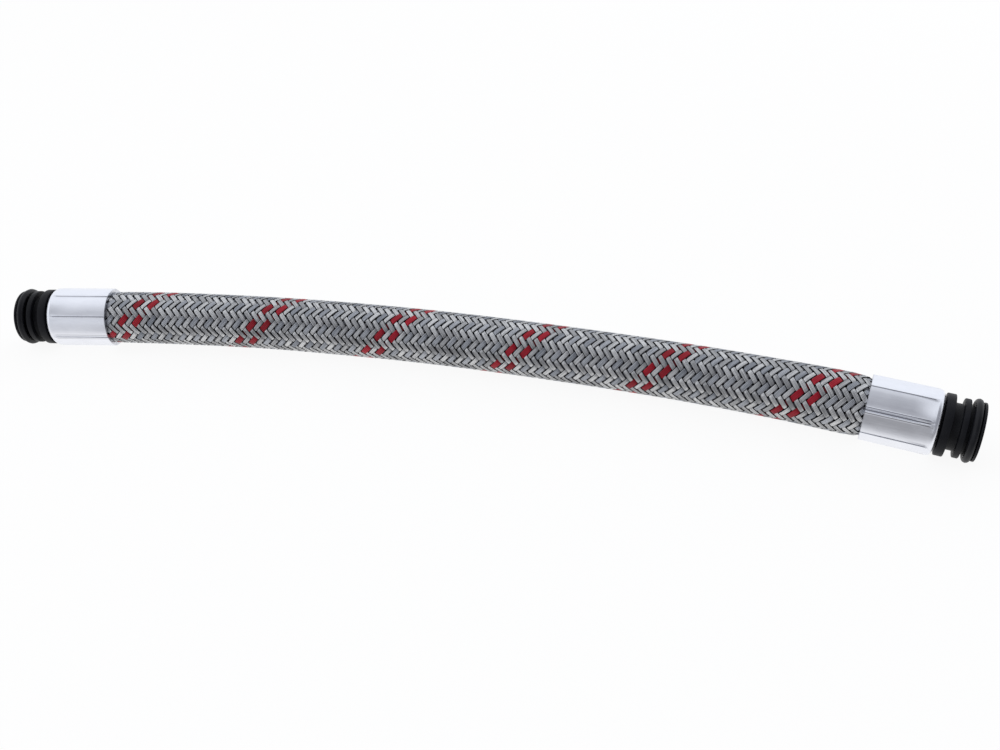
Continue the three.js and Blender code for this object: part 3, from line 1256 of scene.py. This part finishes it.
@dataclass
class Ferrule:
    """The aluminium ferrule, crimped to eight flats with a parting line between each two."""

    route: Route
    side: Side
    length: float = 19.8
    dies: int = 8
    bore: float = 8.08
    mouth_flare: float = 0.4
    flare_depth: float = 0.8
    left_crimp: Crimp = Crimp(0.98, 0.46, 29.3, 0.03, 0.36, 0.45, -1)
    right_crimp: Crimp = Crimp(1.06, 0.22, 17.6, 0.04, 0.3, 0.9, 3)
    rib_reach: float = 0.82
    rib_lip: float = 0.13
    corner_trim: float = 0.12
    line_foot: float = 0.06
    line_depth: float = 0.14
    # How far the painted shade reaches beside a parting line, as a share of the line's reach.
    shade_reach: float = 0.6
    fillet: float = 1.3
    fillet_steps: int = 8
    rim: float = 1.35
    rim_slope: float = 1.0
    rim_step: float = 0.06
    mouth_edge: float = 0.05
    end_wall: float = 1.15
    hole_radius: float = 7.05
    hole_edge: float = 0.12
    rows: Span = (6.0, 12.0)
    flat_steps: int = 7
    flat_gap: float = 0.1
    smooth_below: float = 32
    _size: float = field(default=1.0, init=False)
    _station: float = field(default=0.0, init=False)

    @property
    def crimp(self) -> Crimp:
        """This side's crimp."""
        return self.left_crimp if self.side is Side.LEFT else self.right_crimp

    @property
    def wall(self) -> float:
        """How far the flats lie from the axis."""
        return self.bore + self.crimp.flat_wall

    @property
    def corner(self) -> float:
        """The radius of the trimmed corners between the flats."""
        return self.wall / math.cos(math.pi / self.dies) - self.corner_trim

    def _ridge(self, ribbed: bool) -> list[Span]:
        """The section of one parting line, or of the rib.

        Args:
            ribbed: Whether it is the rib.

        Returns:
            How far aside each point lies, and its radius.
        """
        foot, groove = self.corner - self.line_foot, self.corner - self.line_depth
        if ribbed:
            reach, top = self.rib_reach, self.corner + self.rib_lip
            half = [(1.0, foot), (0.8, top), (0.5, top), (0.22, groove)]
        else:
            reach, top = self.crimp.line_reach, self.corner + self.crimp.line_lip
            half = [(1.0, foot), (0.68, top), (0.36, groove)]
        return [(-share * reach, radius) for share, radius in half] + [
            (share * reach, radius) for share, radius in reversed(half)
        ]

    def _outline(self) -> list[Vector]:
        """The crimped section, from one parting line round to itself.

        Returns:
            Its points about the axis.
        """
        half = math.pi / self.dies
        half_flat = self.wall * math.tan(half)
        points = []
        for die in range(self.dies):
            centre = math.radians(self.crimp.line_turn) + 2 * half * die
            ribbed, next_ribbed = (
                place % self.dies == self.crimp.rib_place for place in (die, die + 1)
            )
            for aside, radius in self._ridge(ribbed):
                angle = centre + aside / self.corner
                points.append(Vector((radius * math.cos(angle), radius * math.sin(angle), 0)))
            middle = centre + half
            for step in range(self.flat_steps):
                share = -1 + 2 * (step + 0.75) / (self.flat_steps + 0.5)
                beside = ribbed if share < 0 else next_ribbed
                ridge = self.rib_reach if beside else self.crimp.line_reach
                along = share * (half_flat - ridge - self.flat_gap)
                out = self.wall + self.crimp.bulge * (1 - share * share)
                x = out * math.cos(middle) - along * math.sin(middle)
                y = out * math.sin(middle) + along * math.cos(middle)
                points.append(Vector((x, y, 0)))
        return points

    def _round_sections(self, rim_radius: float) -> list[Span]:
        """The round sections: over the rim's rounded edge, into the hole and back to the mouth.

        Args:
            rim_radius: The rim's radius.

        Returns:
            The station and the radius of each.
        """
        sections = []
        for k in range(self.fillet_steps + 1):
            angle = math.pi / 2 * k / self.fillet_steps
            station = self.length - self.fillet * (1 - math.sin(angle))
            sections.append((station, rim_radius - self.fillet * (1 - math.cos(angle))))
        return sections + [
            (self.length, self.hole_radius + self.hole_edge),
            (self.length - self.hole_edge, self.hole_radius),
            (self.length - self.end_wall, self.hole_radius),
            (self.length - self.end_wall, self.bore),
            (self.flare_depth, self.bore),
            (0.0, self.bore + self.mouth_flare),
        ]

    def make(self) -> Piece:
        """Draws the crimped section, extrudes it along the ferrule and turns in its end wall.

        Returns:
            The ferrule.
        """
        outline = self._outline()
        mean = sum(point.length for point in outline) / len(outline)
        rim_radius = self.corner + self.crimp.line_lip - self.rim_step
        rim_start = self.length - self.rim
        mouth = (mean - self.mouth_edge) / mean
        ferrule = Bench.start(f"{self.side.value}_ferrule_body")
        with Bench.editing(ferrule):
            Bench.draw(ferrule, outline)
            bpy.ops.mesh.select_all(action="SELECT")
            bpy.ops.transform.resize(value=(mouth, mouth, 1), center_override=(0, 0, 0))
            self._size, self._station = mouth, 0.0
            for station in (self.mouth_edge, *self.rows, rim_start - self.rim_slope):
                self._carry(station, 1.0)
            self._round_ring(ferrule, outline, rim_radius, rim_start)
            for station, radius in self._round_sections(rim_radius):
                self._carry(station, radius)
            Bench.choose(ferrule, lambda co: abs(co.z) < NEAR)
            bpy.ops.mesh.bridge_edge_loops()
            bpy.ops.mesh.select_all(action="SELECT")
            bpy.ops.mesh.normals_make_consistent(inside=False)
        place = self.route.end_frame(self.side)
        Bench.set_in_place(ferrule, place, self.smooth_below)
        material = self._finish().material(place, mean)
        Bench.hand_over(ferrule, material, "ferrule_aluminium", f"{self.side.value}_ferrule")
        return ferrule

    def _carry(self, station: float, size: float) -> None:
        """Extrudes the selected ring to a station and draws it to a new size.

        Args:
            station: How far from the mouth.
            size: The ring's radius, or the scale of the crimped section.
        """
        move = {"value": (0, 0, station - self._station)}
        bpy.ops.mesh.extrude_region_move(TRANSFORM_OT_translate=move)
        change = size / self._size
        bpy.ops.transform.resize(value=(change, change, 1), center_override=(0, 0, 0))
        self._size, self._station = size, station

    def _round_ring(
        self, ferrule: Piece, outline: Sequence[Vector], radius: float, station: float,
    ) -> None:
        """Draws a round ring and bridges the last ring to it.

        Args:
            ferrule: The ferrule in edit mode.
            outline: The crimped section, whose angles the ring has.
            radius: The ring's radius.
            station: How far from the mouth.
        """
        ring = [point.normalized() * radius + Vector((0, 0, station)) for point in outline]
        Bench.draw(ferrule, ring)
        before = self._station
        Bench.choose(ferrule, lambda co: min(abs(co.z - station), abs(co.z - before)) < NEAR)
        bpy.ops.mesh.bridge_edge_loops()
        Bench.choose(ferrule, lambda co: abs(co.z - station) < NEAR)
        self._size, self._station = radius, station

    def _finish(self) -> AluminiumFinish:
        """Matches the finish to this ferrule.

        Returns:
            The finish, with its parting lines where the dies met.
        """
        return AluminiumFinish(
            f"{self.side.value}_ferrule_aluminium", self.dies, self.crimp.line_turn,
            self.shade_reach * self.crimp.line_reach, self.crimp.line_shade, self.crimp.rib_place,
            self.rib_reach, self.length - self.rim - self.rim_slope,
        )


@dataclass
class Spigot:
    """The black plastic spigot: stop flange, clip groove, middle flange, ring groove and nose.

    A flange is its radius and the stations where it starts and ends.
    """

    route: Route
    side: Side
    start: float = 0.5
    tail: float = 5.87
    collar: Flange = (7.79, 17.0, 18.4)
    neck: float = 6.8
    stop: Flange = (9.2, 20.4, 22.8)
    clip_groove: float = 6.9
    middle: Flange = (8.7, 25.25, 26.85)
    ring_groove: float = 6.9
    nose: Flange = (8.6, 30.2, 31.0)
    bore: float = 4.62
    nose_edge: float = 0.5
    rounding: float = 0.22
    steps: int = 96
    smooth_below: float = 35
    finish: RubberFinish = RubberFinish(
        "black_plastic", (0.006, 0.0063, 0.0085), (0.0115, 0.0122, 0.017), 0.48, 5200.0, 0.00002,
        0.16,
    )

    def make(self) -> Piece:
        """Spins the spigot's outline, rounds its edges and dresses it.

        Returns:
            The spigot.
        """
        outline, station = [], self.start
        for root, (radius, near, far) in (
            (self.tail, self.collar), (self.neck, self.stop),
            (self.clip_groove, self.middle), (self.ring_groove, self.nose),
        ):
            outline += [(root, station), (root, near), (radius, near), (radius, far)]
            station = far
        outline += [
            (self.bore + self.nose_edge, station), (self.bore, station - self.nose_edge),
            (self.bore, self.start),
        ]
        spigot = Bench.turn(f"{self.side.value}_spigot_body", outline, self.steps)
        Bench.round_edges(spigot, self.rounding, 3)
        Bench.set_in_place(spigot, self.route.end_frame(self.side), self.smooth_below)
        material = self.finish.material()
        Bench.hand_over(spigot, material, "black_plastic", f"{self.side.value}_spigot")
        return spigot


@dataclass
class SealRing:
    """The O-ring in the spigot's groove, with the faint flash line of its mould."""

    route: Route
    side: Side
    radius: float = 8.25
    section: float = 2.2
    station: float = 28.9
    flash: float = 0.03
    segments: tuple[int, int] = (96, 28)
    smooth_below: float = 60
    finish: RubberFinish = RubberFinish(
        "ring_rubber", (0.006, 0.0062, 0.0085), (0.0115, 0.0122, 0.017), 0.42, 3600.0, 0.00001,
        0.22,
    )

    def make(self) -> Piece:
        """Adds a torus, raises its flash line and dresses it.

        Returns:
            The ring.
        """
        Bench.clear()
        bpy.ops.mesh.primitive_torus_add(
            location=(0, 0, 0), major_radius=self.radius, minor_radius=self.section / 2,
            major_segments=self.segments[0], minor_segments=self.segments[1],
        )
        ring = bpy.context.object
        ring.name = ring.data.name = f"{self.side.value}_seal_ring"
        outer = self.radius + self.section / 2
        grow = (outer + self.flash) / outer
        with Bench.editing(ring):
            Bench.choose(ring, lambda co: co.xy.length > outer - NEAR)
            bpy.ops.transform.resize(value=(grow, grow, 1), center_override=(0, 0, 0))
            bpy.ops.mesh.select_all(action="SELECT")
            bpy.ops.transform.translate(value=(0, 0, self.station))
        Bench.set_in_place(ring, self.route.end_frame(self.side), self.smooth_below)
        Bench.hand_over(ring, self.finish.material(), "ring_rubber", f"{self.side.value}_o_ring")
        return ring


def main() -> None:
    """Builds the camera, the pipe and the studio, in that order."""
    PhotoCamera().stand()
    log.info("photo_camera")
    route = Route()
    sleeve = WovenSleeve(route)
    hose = RubberHose(route, sleeve).make()
    on_hose = sleeve.make()
    for side in Side:
        on_hose.append(Ferrule(route, side).make())
        on_hose.append(Spigot(route, side).make())
        on_hose.append(SealRing(route, side).make())
    path = route.marks(2.0)
    Studio().set_up()
    view = bpy.context.scene.view_settings
    view.view_transform = "Standard"


if __name__ == "__main__":
    main()
